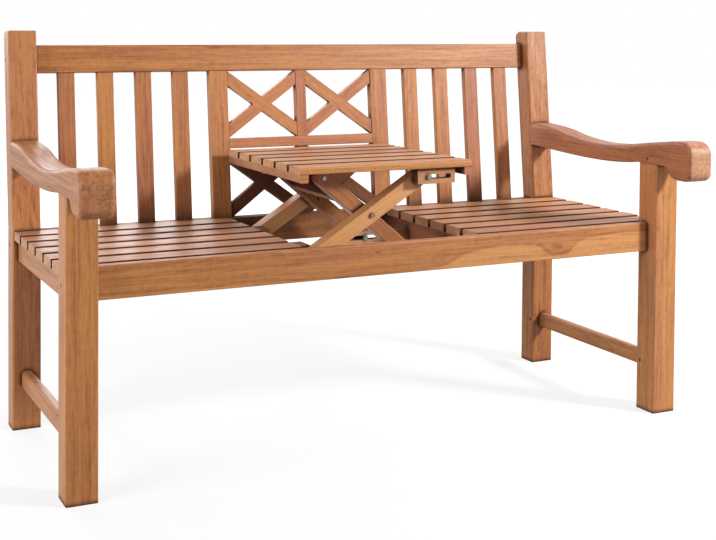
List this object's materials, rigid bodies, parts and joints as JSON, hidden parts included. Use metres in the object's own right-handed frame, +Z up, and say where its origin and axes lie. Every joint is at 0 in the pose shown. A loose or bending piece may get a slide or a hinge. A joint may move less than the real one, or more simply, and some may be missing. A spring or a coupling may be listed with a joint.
{
  "type": "companion seat bench",
  "caption": "Wooden garden bench with armrests, slatted seat and back, and a scissor-legged table in the middle of the seat that folds down flush between the seats.",
  "frame": {"origin": "on the floor, below the middle of the bounding box", "axes": "+X along the bench, to the right as seen from the front; +Y from front to back; +Z up"},
  "size_m": [1.504, 0.6735, 0.91],
  "materials": {
    "teak": "oiled satin teak",
    "peg_wood": "dark end grain, satin",
    "steel_pins": "brushed, satin",
    "screws": "plain zinc grey"
  },
  "bodies": {
    "bench_frame": {"front_leg_right": "teak", "rear_leg_right": "teak", "front_leg_left": "teak", "rear_leg_left": "teak", "front_seat_rail": "teak", "rear_seat_rail": "teak", "side_seat_rail_right": "teak", "side_stretcher_right": "teak", "seat_bearer_right": "teak", "side_seat_rail_left": "teak", "side_stretcher_left": "teak", "seat_bearer_left": "teak", "armrest_right": "teak", "armrest_left": "teak", "top_rail": "teak", "back_slats_left": "teak", "back_stile_left": "teak", "back_slats_right": "teak", "back_stile_right": "teak", "back_mid_rail": "teak", "back_muntin_lower": "teak", "back_muntin_upper": "teak", "back_cross_lower_right": "teak", "back_cross_lower_left": "teak", "back_cross_upper_right": "teak", "back_cross_upper_left": "teak", "seat_slat_right_1": "teak", "seat_slat_left_1": "teak", "seat_slat_right_2": "teak", "seat_slat_left_2": "teak", "seat_slat_right_3": "teak", "seat_slat_left_3": "teak", "seat_slat_right_4": "teak", "seat_slat_left_4": "teak", "seat_slat_right_5": "teak", "seat_slat_left_5": "teak", "seat_slat_right_6": "teak", "seat_slat_left_6": "teak", "seat_screws": "screws", "wood_pegs": "peg_wood", "frame_hinge_blocks": "teak", "frame_hinge_bolts": "steel_pins", "frame_slide_blocks": "teak"},
    "outer_legs": {"outer_leg_front": "teak", "outer_leg_rear": "teak", "table_slide_pins": "steel_pins", "crossing_bolts": "steel_pins"},
    "inner_legs": {"inner_leg_front": "teak", "inner_leg_rear": "teak", "inner_leg_cross_rail": "teak", "inner_leg_pins": "steel_pins"},
    "table": {"table_slat_1": "teak", "table_slat_2": "teak", "table_slat_3": "teak", "table_slat_4": "teak", "table_slat_5": "teak", "table_slat_6": "teak", "table_cleats": "teak", "table_slide_blocks": "teak", "table_hinge_blocks": "teak"}
  },
  "joints": [
    {"name": "table_fold", "type": "hinge", "parent": "bench_frame", "child": "outer_legs", "pos_m": [-0.185, 0.05324, 0.404], "axis": [0, 1, 0], "range_deg": [0, 28.87]},
    {"name": "leg_crossing", "type": "hinge", "parent": "outer_legs", "child": "inner_legs", "pos_m": [-0.0242, 0.05324, 0.50294], "axis": [0, 1, 0], "range_deg": [-65.07, 0]},
    {"name": "table_hinge", "type": "hinge", "parent": "inner_legs", "child": "table", "pos_m": [-0.1245, 0.05324, 0.5855], "axis": [0, 1, 0], "range_deg": [0, 36.2]}
  ],
  "couplings": [
    {"joint": "leg_crossing", "follows": "table_fold", "ratio": -2.252},
    {"joint": "table_hinge", "follows": "table_fold", "ratio": 1.252}
  ]
}
